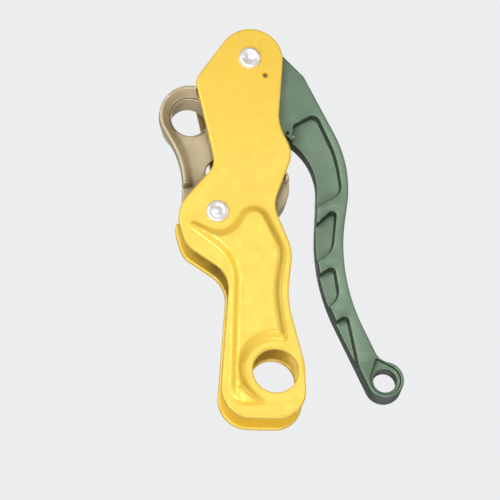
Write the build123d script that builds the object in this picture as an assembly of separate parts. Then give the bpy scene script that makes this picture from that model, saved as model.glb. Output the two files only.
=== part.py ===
from build123d import *
import math
import os

# Self-braking rope descender. Millimetres. The origin is the centre of the carabiner eye, in the
# middle of the rope channel. +Z runs up the device, +X towards the handle, and +Y from the fixed
# front plate to the swinging rear plate. Everything is drawn in the X-Z plane and given its depth in Y.

# ---- layers, in Y ----
CHANNEL = 16.0  # clear width between the two side plates
PLATE = 3.5  # thickness of a side plate
EMBOSS = 3.0  # how far the pressed panel stands out of a plate
PANEL_SLOPE = 1.5  # how far the panel's side leans in over its height
PANEL_TIP = (-30.0, 68.4, 0.8)  # top face's corner under the lower axle
CHEEK = 3.4  # thickness of the bollard cheek
CHEEK_SINK = 1.6  # how far the cheek's open ground is sunk
SIDE_GAP = 0.3  # clear gap beside a moving piece
HANDLE = 13.0  # thickness of the handle

# ---- places of the three centres ----
EYE_R = 10.4  # carabiner eye
EYE_COLLAR_R = EYE_R + 4.2  # flat ground round the eye
PIVOT = (0.0, 149.8)  # upper axle, on which the handle and the rear plate turn
ANCHOR = (-20.7, 76.6)  # lower axle, which the rear plate hooks over

# ---- axles and what turns on them ----
AXLE_R = 4.0
AXLE_HEAD_R = AXLE_R + 1.2
AXLE_HEAD = 2.0  # height of a domed head
AXLE_DISH_R = AXLE_R - 0.8  # dished centre of the upper axle's head
RUNNING = 0.05  # radial clearance of a running fit
BUSH_WALL = 1.6
WASHER_R = AXLE_R + 2.8
SPRING_WIRE_R = 0.7
SPRING_PITCH = 1.8
SPRING_TURNS = 2.0
SPRING_HOLE = (6.8, 141.5)  # small hole in the front plate for the spring's fixed leg

SLEEVE_R = 4.5  # tubular lower rivet
SLEEVE_HEAD_R = SLEEVE_R + 0.7
SLEEVE_BORE_R = SLEEVE_R - 1.5
SLEEVE_RECESS_R = SLEEVE_BORE_R + 0.7
HOOK_HEAD_R = SLEEVE_R + 2.7
HOOK_HEAD = 2.2
HOOK_CLEAR = 0.4  # clear gap round the lower rivet in the rear plate's hook

# ---- rope bollards ----
ROPE = 11.0  # rope that the device is made for
RING = (-29.2, 124.0)  # hollow bollard
RING_R = 14.3
RING_CORE_R = 10.2
RING_BORE_R = 8.3
RING_SEAT_R = 12.0  # step that seats the ring bollard in the cheek
RING_LIP_R = 12.2
RING_LIP = 1.5
WALL_RISE = 2.8  # how far the cheek's wall stands in front of the front plate's inner face
WALL_EDGE = 1.4  # width of the wall's front edge
WALL_LEAN = 3.6  # how far the wall's inner face leans in
WALL_END = 90.0  # height at which the wall stops
COVER_GAP = 0.6
LOBE = (-1.6, 89.0)  # solid bollard that the handle squeezes the rope against
LOBE_R = 15.5
LOWER_BOLLARD_R = SLEEVE_R + 1.9
WEB_HOLE = (-17.6, 96.6)
WEB_HOLE_R = 6.5

# ---- handle ----
SHOE = 3.0  # thickness of the steel brake shoe
SHOE_DEPTH = 8.0
SHOE_LENGTH = 12.0
SHOE_PIN_R = 1.0
POCKET = 4.6  # depth of the handle's pockets
DISH = 2.2  # depth of the dish round the key ring hole
KEY_RING = (50.2, -5.8)
KEY_RING_R = 8.5
KEY_HOLE_R = 5.3

FRONT_IN = -CHANNEL / 2
FRONT_OUT = FRONT_IN - PLATE
REAR_IN = CHANNEL / 2
REAR_OUT = REAR_IN + PLATE
REAR_TOP = REAR_OUT + EMBOSS
CHEEK_BACK = FRONT_IN + CHEEK
GROUND = FRONT_IN + CHEEK_SINK
CORE_BACK = REAR_IN - SIDE_GAP
HANDLE_FRONT = -HANDLE / 2
HANDLE_BACK = HANDLE / 2
WASHER = REAR_IN - HANDLE_BACK - 2 * RUNNING
BUSH_R = AXLE_R + BUSH_WALL
SPRING_R = math.dist(PIVOT, SPRING_HOLE)
SPRING_FLOOR = HANDLE_FRONT + SPRING_WIRE_R + SPRING_PITCH * (SPRING_TURNS + 0.5) + 1.2
BRAKE_R = LOBE_R + ROPE + 2.0  # the brake face lies round the lobe, a little over one rope away

# An outline is a belt round pulleys (x, z, radius). A negative radius is a hollow that the belt bends into.
PLATE_PULLEYS = [
    (0.6, 149.4, 14.9),
    (-18.4, 139.0, 7.0),
    (-30.2, 103.0, -10.0),
    (-23.0, 74.0, 15.5),
    (-26.0, 68.5, 11.5),
    (-32.3, 41.0, -14.0),
    (-11.5, -7.6, 13.9),
    (0.2, -9.6, 12.8),
    (-2.0, 1.5, 15.4),
    (54.6, 33.0, -45.8),
    (-8.2, 55.3, 20.0),
    (19.3, 77.8, -13.0),
    (3.0, 103.6, 12.5),
    (31.4, 120.2, -20.0),
]
PANEL_PULLEYS = [
    (-4.4, 70.6, 6.8),
    (ANCHOR[0], ANCHOR[1], -9.9),
    (-32.0, 70.4, 1.2),
    (-36.0, 45.0, -20.6),
    (-11.5, -7.6, 9.4),
    (-2.0, -9.0, 9.4),
    (54.6, 33.0, -50.4),
    (-8.2, 55.3, 16.0),
]
HOLLOW_PULLEYS = [
    (-4.4, 70.6, 3.6),
    (-13.8, 61.6, 2.0),
    (-36.0, 45.0, -24.8),
    (-11.0, 24.0, 3.5),
    (-3.0, 24.0, 3.5),
    (54.6, 33.0, -53.4),
    (-8.2, 55.3, 12.6),
]
CHEEK_PULLEYS = [
    (RING[0], RING[1], RING_R),
    (-75.2, 94.0, -40.0),
    (ANCHOR[0], ANCHOR[1], 16.0),
    (LOBE[0], LOBE[1], LOBE_R),
    (4.0, 128.0, -18.0),
]
HANDLE_PULLEYS = [
    (PIVOT[0], PIVOT[1], 13.8),
    (9.5, 122.5, 32.5 - BRAKE_R),
    (LOBE[0], LOBE[1], -BRAKE_R),
    (118.9, 57.0, 123.5 - BRAKE_R),
    (KEY_RING[0], KEY_RING[1], KEY_RING_R),
    (53.6, 9.7, -7.2),
    (126.2, 51.8, -90.0),
    (-15.7, 91.0, 57.0),
    (20.2, 138.5, 5.6),
]
# Pockets in the handle's front, from the pivot down. Each one runs out through the inner edge.
POCKET_PULLEYS = [
    [(27.2, 118.8, 3.4), (19.8, 117.2, 1.6), (17.0, 103.4, 1.0), (12.0, 72.8, 1.0), (31.0, 88.2, 6.8),
     (-15.7, 91.0, 53.2)],
    [(32.6, 73.8, 1.8), (18.0, 63.4, 1.0), (18.0, 50.8, 2.0), (22.8, 62.4, 9.4)],
    [(29.8, 46.8, 1.9), (18.0, 41.0, 1.0), (18.0, 26.2, 2.0), (24.4, 38.0, 8.0)],
    [(34.0, 23.2, 1.9), (22.0, 17.0, 1.0), (34.0, -2.0, 1.0), (37.0, 1.0, 1.6)],
]


def heading(a, b):
    """Direction of the straight run that leaves pulley a and meets pulley b."""
    span = math.dist(a[:2], b[:2])
    return math.atan2(b[1] - a[1], b[0] - a[0]) - math.asin((b[2] - a[2]) / span)


def touch(pulley, angle):
    """Point of a pulley where the belt runs in the direction of angle."""
    x, z, r = pulley
    return (x + r * math.sin(angle), z - r * math.cos(angle))


def belt(pulleys):
    """Face inside a belt that runs anticlockwise round the pulleys."""
    headings = [heading(a, b) for a, b in zip(pulleys, pulleys[1:] + pulleys[:1])]
    edges = []
    for i, pulley in enumerate(pulleys):
        turn = (headings[i] - headings[i - 1]) % math.tau
        if pulley[2] < 0:
            turn -= math.tau
        points = [touch(pulley, headings[i - 1] + turn * share) for share in (0, 0.5, 1)]
        edges.append(ThreePointArc(*points))
        ahead = pulleys[(i + 1) % len(pulleys)]
        edges.append(Line(points[2], touch(ahead, headings[i])))
    return make_face(edges)


def inset(pulleys, amount):
    """The same belt drawn in by amount all round."""
    return [(x, z, r - amount) for x, z, r in pulleys]


def slab(face, y_front, y_back):
    """Face of the X-Z plane given thickness between two depths."""
    return extrude(Plane.XZ.offset(-y_back) * face, amount=y_back - y_front)


def at(centre, face):
    return Pos(centre[0], centre[1]) * face


def rod(centre, radius, y_front, y_back):
    return slab(at(centre, Circle(radius)), y_front, y_back)


def tube(centre, outer, inner, y_front, y_back):
    return rod(centre, outer, y_front, y_back) - rod(centre, inner, y_front, y_back)


def turned(centre, profile):
    """Solid of revolution about an axis along Y. The profile's points are (radius, y)."""
    face = make_face(Polyline(*profile, close=True))
    solid = revolve(face, Axis.Y)
    return Pos(centre[0], 0, centre[1]) * solid


def dome(centre, radius, y_base, height):
    """Domed rivet head that stands out of y_base towards the side of height's sign."""
    ball_r = (radius**2 + height**2) / (2 * abs(height))
    side = math.copysign(1, height)
    ball = Pos(centre[0], y_base + height - side * ball_r, centre[1]) * Sphere(ball_r)
    ends = sorted((y_base, y_base + height))
    return ball & rod(centre, radius, ends[0], ends[1])


def panel(sign):
    """Pressed panel of the lower body, standing out of the plate on the side of sign."""
    foot, top = PANEL_PULLEYS, inset(PANEL_PULLEYS, PANEL_SLOPE)
    top[2] = PANEL_TIP
    base_y, top_y = sign * (CHANNEL / 2 + PLATE), sign * (CHANNEL / 2 + PLATE + EMBOSS)
    faces = [Plane.XZ.offset(-y) * belt(line) for y, line in ((base_y, foot), (top_y, top))]
    return loft(faces, ruled=True)


def side_plate(sign):
    """Side plate with its pressed panel, hollow inside, and the dished carabiner eye."""
    inner, outer = CHANNEL / 2, CHANNEL / 2 + PLATE
    ends = sorted((sign * inner, sign * outer))
    body = slab(belt(PLATE_PULLEYS), ends[0], ends[1]) + panel(sign)
    ends = sorted((sign * inner, sign * (inner + EMBOSS)))
    body -= slab(belt(HOLLOW_PULLEYS), ends[0], ends[1])
    top = outer + EMBOSS
    dish = [(0, outer), (EYE_COLLAR_R, outer), (EYE_COLLAR_R + PANEL_SLOPE, top), (0, top)]
    body -= turned((0, 0), [(r, sign * y) for r, y in dish])
    return body - rod((0, 0), EYE_R, -REAR_TOP, REAR_TOP)


def front_plate():
    body = side_plate(-1)
    body -= rod(PIVOT, AXLE_R, FRONT_OUT, FRONT_IN) + rod(ANCHOR, SLEEVE_R, FRONT_OUT, FRONT_IN)
    leg_r = SPRING_WIRE_R + 2 * RUNNING
    body -= rod(SPRING_HOLE, leg_r, FRONT_OUT, FRONT_IN)
    sink = [(0, FRONT_OUT), (leg_r + 1.1, FRONT_OUT), (leg_r, FRONT_OUT + 1.1), (0, FRONT_OUT + 1.1)]
    return body - turned(SPRING_HOLE, sink)


def hook_slot():
    """Slot along an arc round the upper axle, from the lower axle out of the plate's left edge."""
    reach = math.dist(PIVOT, ANCHOR)
    start = math.degrees(math.atan2(ANCHOR[1] - PIVOT[1], ANCHOR[0] - PIVOT[0])) % 360
    width = 2 * (SLEEVE_R + HOOK_CLEAR)
    outer = CenterArc(PIVOT, reach + width / 2, start - 20, 20)
    inner = CenterArc(PIVOT, reach - width / 2, start - 20, 20)
    band = make_face([outer, inner, Line(outer @ 0, inner @ 0), Line(outer @ 1, inner @ 1)])
    return band + at(ANCHOR, Circle(width / 2))


def rear_plate():
    body = side_plate(1)
    body -= rod(PIVOT, AXLE_R + RUNNING, REAR_IN, REAR_OUT)
    return body - slab(hook_slot(), REAR_IN, REAR_OUT)


def cheek():
    """Plate behind the front plate that carries the bollards.

    Where it shows, its ground is sunk and a wall with a leaning inner face follows its left edge.
    """
    outline, cover = belt(CHEEK_PULLEYS), belt(inset(PLATE_PULLEYS, -COVER_GAP))
    body = slab(outline, FRONT_IN, CHEEK_BACK)
    wall_front = FRONT_IN - WALL_RISE
    body += slab(outline - cover, wall_front, FRONT_IN)
    levels = (wall_front, WALL_EDGE), (GROUND, WALL_EDGE + WALL_LEAN)
    sections = [Plane.XZ.offset(-y) * belt(inset(CHEEK_PULLEYS, amount)) for y, amount in levels]
    tray = loft(sections, ruled=True)
    body -= tray - slab(cover, wall_front, CHEEK_BACK)
    foot = at((RING[0], WALL_END - 50), Rectangle(100, 100)) - cover
    body -= slab(foot, wall_front, GROUND)
    body -= rod(RING, RING_SEAT_R, GROUND, CHEEK_BACK)
    body -= rod(ANCHOR, SLEEVE_R, FRONT_IN, CHEEK_BACK) + rod(WEB_HOLE, WEB_HOLE_R, FRONT_IN, CHEEK_BACK)
    for place in lobe_rivet_places():
        body -= rivet_form(place)
    return max(body.solids(), key=lambda solid: solid.volume)


def ring_bollard():
    """Hollow bollard with a rounded mouth, seated in the cheek."""
    mouth_r = RING_R - WALL_EDGE - WALL_LEAN
    mouth = ThreePointArc((mouth_r, GROUND), (RING_BORE_R + 0.35, GROUND + 0.9), (RING_BORE_R, GROUND + 2.2))
    skirt = ThreePointArc((RING_SEAT_R, CHEEK_BACK), (RING_CORE_R + 0.5, CHEEK_BACK + 0.5),
                          (RING_CORE_R, CHEEK_BACK + 1.8))
    lip = CORE_BACK - RING_LIP
    corners = [mouth @ 1, (RING_BORE_R, CORE_BACK), (RING_LIP_R, CORE_BACK), (RING_LIP_R, lip),
               (RING_CORE_R, lip - RING_LIP), skirt @ 1]
    rim = [skirt @ 0, (RING_SEAT_R, GROUND), mouth @ 0]
    edges = [mouth, skirt] + [Line(p, q) for run in (corners, rim) for p, q in zip(run, run[1:])]
    return Pos(RING[0], 0, RING[1]) * revolve(make_face(edges), Axis.Y)


def lobe_rivet_places():
    return [(LOBE[0] + 7.0, LOBE[1] + 3.5), (LOBE[0] + 2.5, LOBE[1] - 8.0)]


def rivet_form(place):
    """Countersunk rivet, flush in the cheek's front face."""
    head = [(0, FRONT_IN), (2.9, FRONT_IN), (1.6, FRONT_IN + 1.3), (0, FRONT_IN + 1.3)]
    return turned(place, head) + rod(place, 1.6, FRONT_IN + 1.0, CORE_BACK)


def lobe_rivets():
    return Compound(children=[rivet_form(place) for place in lobe_rivet_places()])


def lobe_bollard():
    """Full-depth bollard under the brake shoe, cut back on its left to leave the rope its lane."""
    lane = at(ANCHOR, Circle(LOWER_BOLLARD_R + ROPE + 1.0))
    form = at(LOBE, Circle(LOBE_R)) - lane
    form = fillet(form.vertices(), 2.5)
    body = slab(form, CHEEK_BACK, CORE_BACK)
    for place in lobe_rivet_places():
        body -= rod(place, 1.6, CHEEK_BACK, CORE_BACK)
    return body


def lower_bollard():
    return tube(ANCHOR, LOWER_BOLLARD_R, SLEEVE_R, CHEEK_BACK, CORE_BACK)


def lower_sleeve():
    """Flanged tube that rivets the plate and the cheek, and the neck that the rear plate hooks over."""
    neck_end = REAR_OUT + SIDE_GAP
    head = FRONT_OUT - 1.6
    body = rod(ANCHOR, SLEEVE_HEAD_R, head, FRONT_OUT) + rod(ANCHOR, SLEEVE_R, FRONT_OUT, neck_end)
    body -= rod(ANCHOR, SLEEVE_BORE_R, head, neck_end)
    return body - rod(ANCHOR, SLEEVE_RECESS_R, head, head + 1.4)


def lower_axle():
    """Pin inside the tubular rivet, with a small domed end in its recess."""
    start = FRONT_OUT - 0.4
    return rod(ANCHOR, SLEEVE_BORE_R, start, REAR_OUT + SIDE_GAP + HOOK_HEAD) + dome(
        ANCHOR, SLEEVE_BORE_R, start, -0.8
    )


def hook_head():
    """Round head behind the rear plate, which keeps the hooked plate shut."""
    start = REAR_OUT + SIDE_GAP
    body = tube(ANCHOR, HOOK_HEAD_R, SLEEVE_BORE_R, start, start + HOOK_HEAD)
    outer = body.edges().filter_by(GeomType.CIRCLE).sort_by(SortBy.RADIUS)[-2:].sort_by(Axis.Y)[-1]
    return chamfer(outer, 0.7)


def upper_axle():
    """Axle riveted over the front plate, with a dished head."""
    collar_start = REAR_OUT + SIDE_GAP + 0.8
    body = rod(PIVOT, AXLE_R, FRONT_OUT, collar_start + 2.4)
    body += dome(PIVOT, AXLE_HEAD_R, FRONT_OUT, -AXLE_HEAD)
    top, floor = FRONT_OUT - AXLE_HEAD, FRONT_OUT - 0.7
    return body - turned(PIVOT, [(0, top), (AXLE_DISH_R + 0.2, top), (AXLE_DISH_R - 1.2, floor), (0, floor)])


def axle_collar():
    start = REAR_OUT + SIDE_GAP + 0.8
    body = tube(PIVOT, AXLE_HEAD_R + 0.6, AXLE_R, start, start + 2.2)
    outer = body.edges().filter_by(GeomType.CIRCLE).sort_by(SortBy.RADIUS)[-2:].sort_by(Axis.Y)[-1]
    return chamfer(outer, 0.7)


def rear_washer():
    """Spring steel washer between the rear plate and the axle's collar."""
    return tube(PIVOT, 8.0, AXLE_R + RUNNING, REAR_OUT + SIDE_GAP, REAR_OUT + SIDE_GAP + 0.7)


def thrust_washer(y_front):
    return tube(PIVOT, WASHER_R, AXLE_R + RUNNING, y_front, y_front + WASHER)


def pivot_bush():
    return tube(PIVOT, BUSH_R, AXLE_R + RUNNING, HANDLE_FRONT, HANDLE_BACK)


def shoe_run():
    """Middle and direction of the flat that leads into the handle's brake face."""
    nose, face = HANDLE_PULLEYS[1], HANDLE_PULLEYS[2]
    angle = heading(nose, face)
    ends = touch(nose, angle), touch(face, angle)
    return [(p + q) / 2 for p, q in zip(*ends)], angle


def shoe_face():
    """Strip of the handle along its brake face, as deep as the shoe is thick."""
    middle, angle = shoe_run()
    window = at(middle, Rot(Z=math.degrees(angle)) * Rectangle(SHOE_LENGTH, 2 * SHOE))
    return belt(HANDLE_PULLEYS) & window


def shoe_pin_places():
    middle, angle = shoe_run()
    back = SHOE / 2
    return [(middle[0] + along * math.cos(angle) - back * math.sin(angle),
             middle[1] + along * math.sin(angle) + back * math.cos(angle))
            for along in (-SHOE_LENGTH / 4, SHOE_LENGTH / 4)]


def brake_shoe():
    body = slab(shoe_face(), -SHOE_DEPTH / 2, SHOE_DEPTH / 2)
    for place in shoe_pin_places():
        body -= rod(place, SHOE_PIN_R, -SHOE_DEPTH / 2, SHOE_DEPTH / 2)
    return body


def shoe_pins():
    """Two pins across the handle's nose that hold the shoe."""
    pins = [rod(place, SHOE_PIN_R, HANDLE_FRONT, HANDLE_BACK) for place in shoe_pin_places()]
    return Compound(children=pins)


def spring_leg_place():
    """Where the spring's moving leg enters the handle, on the far side of the coil."""
    return (2 * PIVOT[0] - SPRING_HOLE[0], 2 * PIVOT[1] - SPRING_HOLE[1])


def handle_spring():
    """Torsion spring in the handle's hub. One leg sits in the front plate and one in the handle."""
    coil_front = HANDLE_FRONT + 0.2
    turns = SPRING_TURNS + 0.5
    helix = Helix(pitch=SPRING_PITCH, height=SPRING_PITCH * turns, radius=SPRING_R)
    wire = sweep(Plane(origin=helix @ 0, z_dir=helix % 0) * Circle(SPRING_WIRE_R), path=helix)
    coil = Rot(X=-90) * wire
    start = math.degrees(math.atan2(SPRING_HOLE[1] - PIVOT[1], SPRING_HOLE[0] - PIVOT[0]))
    coil = Pos(PIVOT[0], coil_front + SPRING_WIRE_R, PIVOT[1]) * Rot(Y=-start) * coil
    coil_back = coil_front + SPRING_WIRE_R + SPRING_PITCH * turns
    legs = rod(SPRING_HOLE, SPRING_WIRE_R, FRONT_OUT + 2.2, coil_front + SPRING_WIRE_R)
    legs += rod(spring_leg_place(), SPRING_WIRE_R, coil_back, coil_back + 3.0)
    return coil + legs


def handle():
    body = slab(belt(HANDLE_PULLEYS), HANDLE_FRONT, HANDLE_BACK)
    for pulleys in POCKET_PULLEYS:
        body -= slab(belt(pulleys), HANDLE_FRONT, HANDLE_FRONT + POCKET)
    dish = belt([(KEY_RING[0], KEY_RING[1], KEY_RING_R - 1.3), (47.2, 3.4, 1.0)])
    body -= slab(dish, HANDLE_FRONT, HANDLE_FRONT + DISH) + slab(dish, HANDLE_BACK - DISH, HANDLE_BACK)
    body -= rod(KEY_RING, KEY_HOLE_R, HANDLE_FRONT, HANDLE_BACK)
    body -= rod(PIVOT, BUSH_R, HANDLE_FRONT, HANDLE_BACK)
    groove = SPRING_R + SPRING_WIRE_R + 0.4, SPRING_R - SPRING_WIRE_R - 1.2
    body -= tube(PIVOT, *groove, HANDLE_FRONT, SPRING_FLOOR)
    body -= rod(spring_leg_place(), SPRING_WIRE_R + 0.1, SPRING_FLOOR, SPRING_FLOOR + 4.0)
    body -= slab(shoe_face(), -SHOE_DEPTH / 2, SHOE_DEPTH / 2)
    for place in shoe_pin_places():
        body -= rod(place, SHOE_PIN_R, HANDLE_FRONT, HANDLE_BACK)
    return body


NODES = {
    "front_plate": front_plate,
    "rear_plate": rear_plate,
    "bollard_cheek": cheek,
    "ring_bollard": ring_bollard,
    "lobe_bollard": lobe_bollard,
    "lobe_rivets": lobe_rivets,
    "lower_bollard": lower_bollard,
    "lower_sleeve": lower_sleeve,
    "lower_axle": lower_axle,
    "hook_head": hook_head,
    "upper_axle": upper_axle,
    "axle_collar": axle_collar,
    "rear_washer": rear_washer,
    "thrust_washer_front": lambda: thrust_washer(FRONT_IN + RUNNING),
    "thrust_washer_rear": lambda: thrust_washer(HANDLE_BACK + RUNNING),
    "pivot_bush": pivot_bush,
    "handle": handle,
    "brake_shoe": brake_shoe,
    "shoe_pins": shoe_pins,
    "handle_spring": handle_spring,
}

os.makedirs("parts", exist_ok=True)
for name, make in NODES.items():
    solid = make()
    solid.label = name
    export_step(solid, f"parts/{name}.step")
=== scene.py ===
"""Self-braking rope descender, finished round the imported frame.

Sizes are in millimetres in the frame of the model and become metres where a mesh is made. +Z runs up the
device from the carabiner eye to the upper axle, +X towards the handle, and +Y from the front plate to the
rear one.
"""
import logging
import math
from collections.abc import Callable
from dataclasses import dataclass
from enum import Enum

import bpy
import numpy as np
from mathutils import Matrix, Vector
from mathutils.geometry import delaunay_2d_cdt


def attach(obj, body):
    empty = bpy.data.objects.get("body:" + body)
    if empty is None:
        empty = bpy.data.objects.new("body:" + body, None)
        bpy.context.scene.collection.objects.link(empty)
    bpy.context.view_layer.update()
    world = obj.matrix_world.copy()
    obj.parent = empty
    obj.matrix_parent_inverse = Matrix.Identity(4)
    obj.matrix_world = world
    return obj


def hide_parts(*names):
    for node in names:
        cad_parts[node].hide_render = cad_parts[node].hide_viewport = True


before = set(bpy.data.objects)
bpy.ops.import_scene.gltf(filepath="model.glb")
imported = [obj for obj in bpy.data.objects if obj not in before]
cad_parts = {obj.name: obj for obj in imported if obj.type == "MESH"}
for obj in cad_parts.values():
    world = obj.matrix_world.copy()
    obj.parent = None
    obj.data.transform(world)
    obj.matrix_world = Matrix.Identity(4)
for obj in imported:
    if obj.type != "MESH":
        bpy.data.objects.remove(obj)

LOG = logging.getLogger("descender")
MM = 0.001  # metres in a millimetre
STEP = 0.5  # spacing of points along curved outlines
SMOOTH = math.radians(38)  # edges sharper than this stay sharp in the shading
TOUCH = 1e-3  # points nearer than this are one point

Triple = tuple[float, float, float]
Colour = Triple
Place = tuple[float, float]  # x and z
Pulley = Triple  # x, z and radius
Heights = Callable[[np.ndarray], np.ndarray]

# ---- layers, in Y, from the front of the device to its back ----
FRONT_IN = -8.0
FRONT_OUT = -11.5
REAR_IN = 8.0
REAR_OUT = 11.5
EMBOSS = 3.0  # how far the pressed panel stands out
GROUND = -6.4  # sunk ground of the bollard cheek
CHEEK_BACK = -4.6
CORE_BACK = 7.7
HANDLE_SIDE = 6.5
REAR_SEAT = REAR_OUT + 0.3  # where the fasteners behind the rear plate start, so that it swings freely

# ---- radii, and the rope that the bollards are spaced for ----
ROPE = 11.0
AXLE_R = 4.0
AXLE_BORE_R = 4.05  # runs freely on the upper axle
SLEEVE_R = 4.5
SLEEVE_BORE_R = 3.0
RING_R = 14.3
LOBE_R = 15.5
LOWER_R = 6.4
BRAKE_R = LOBE_R + ROPE + 2.0  # handle's inner curve, round the lobe bollard and its rope
COIL_R = 10.73

# ---- centres ----
EYE: Place = (0.0, 0.0)
PIVOT: Place = (0.0, 149.8)
ANCHOR: Place = (-20.7, 76.6)
RING: Place = (-29.2, 124.0)
LOBE: Place = (-1.6, 89.0)
SPRING_HOLE: Place = (6.8, 141.5)
WEB_HOLE: Place = (-17.6, 96.6)
KEY_RING: Place = (50.2, -5.8)

PLATE_PULLEYS: list[Pulley] = [
    (0.6, 149.4, 14.9),
    (-18.4, 139.0, 7.0),
    (-30.2, 103.0, -10.0),
    (-23.0, 74.0, 15.5),
    (-26.0, 68.5, 11.5),
    (-32.3, 41.0, -14.0),
    (-11.5, -7.6, 13.9),
    (0.2, -9.6, 12.8),
    (-2.0, 1.5, 15.4),
    (54.6, 33.0, -45.8),
    (-8.2, 55.3, 20.0),
    (19.3, 77.8, -13.0),
    (3.0, 103.6, 12.5),
    (31.4, 120.2, -20.0),
]
PANEL_PULLEYS: list[Pulley] = [
    (-4.4, 70.6, 6.8),
    (ANCHOR[0], ANCHOR[1], -9.9),
    (-32.0, 70.4, 1.2),
    (-36.0, 45.0, -20.6),
    (-11.5, -7.6, 9.4),
    (-2.0, -9.0, 9.4),
    (54.6, 33.0, -50.4),
    (-8.2, 55.3, 16.0),
]
HOLLOW_PULLEYS: list[Pulley] = [
    (-4.4, 70.6, 3.6),
    (-13.8, 61.6, 2.0),
    (-36.0, 45.0, -24.8),
    (-11.0, 24.0, 3.5),
    (-3.0, 24.0, 3.5),
    (54.6, 33.0, -53.4),
    (-8.2, 55.3, 12.6),
]
CHEEK_PULLEYS: list[Pulley] = [
    (RING[0], RING[1], RING_R),
    (-75.2, 94.0, -40.0),
    (ANCHOR[0], ANCHOR[1], 16.0),
    (LOBE[0], LOBE[1], LOBE_R),
    (4.0, 128.0, -18.0),
]
HANDLE_PULLEYS: list[Pulley] = [
    (PIVOT[0], PIVOT[1], 13.8),
    (9.5, 122.5, 4.0),
    (LOBE[0], LOBE[1], -BRAKE_R),
    (118.9, 57.0, 95.0),
    (KEY_RING[0], KEY_RING[1], 8.5),
    (53.6, 9.7, -7.2),
    (126.2, 51.8, -90.0),
    (-15.7, 91.0, 57.0),
    (20.2, 138.5, 5.6),
]
POCKET_PULLEYS: list[list[Pulley]] = [
    [(27.2, 118.8, 3.4), (19.8, 117.2, 1.6), (17.0, 103.4, 1.0), (12.0, 72.8, 1.0), (31.0, 88.2, 6.8),
     (-15.7, 91.0, 53.2)],
    [(32.6, 73.8, 1.8), (18.0, 63.4, 1.0), (18.0, 50.8, 2.0), (22.8, 62.4, 9.4)],
    [(29.8, 46.8, 1.9), (18.0, 41.0, 1.0), (18.0, 26.2, 2.0), (24.4, 38.0, 8.0)],
    [(34.0, 23.2, 1.9), (22.0, 17.0, 1.0), (34.0, -2.0, 1.0), (37.0, 1.0, 1.6)],
]
KEY_DISH: list[Pulley] = [(KEY_RING[0], KEY_RING[1], 7.2), (47.2, 3.4, 1.0)]


class Side(Enum):
    """Which of the two side plates a shape belongs to. The value is the sign of its Y."""

    FRONT = -1
    REAR = 1


# ---------------------------------------------------------------- outlines


def heading(a: Pulley, b: Pulley) -> float:
    """Direction of the straight run that leaves pulley a and meets pulley b."""
    span = math.dist(a[:2], b[:2])
    return math.atan2(b[1] - a[1], b[0] - a[0]) - math.asin((b[2] - a[2]) / span)


def around(pulley: Pulley, angle: float) -> Place:
    """Point of a pulley where the belt runs in the direction of angle."""
    x, z, r = pulley
    return (x + r * math.sin(angle), z - r * math.cos(angle))


def spoke(centre: Place, radius: float, angle: float) -> Place:
    """Point at a distance from a centre, in the direction of angle."""
    return (centre[0] + radius * math.cos(angle), centre[1] + radius * math.sin(angle))


def bearing(centre: Place, point: Place) -> float:
    """Direction from a centre to a point."""
    return math.atan2(point[1] - centre[1], point[0] - centre[0])


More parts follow.
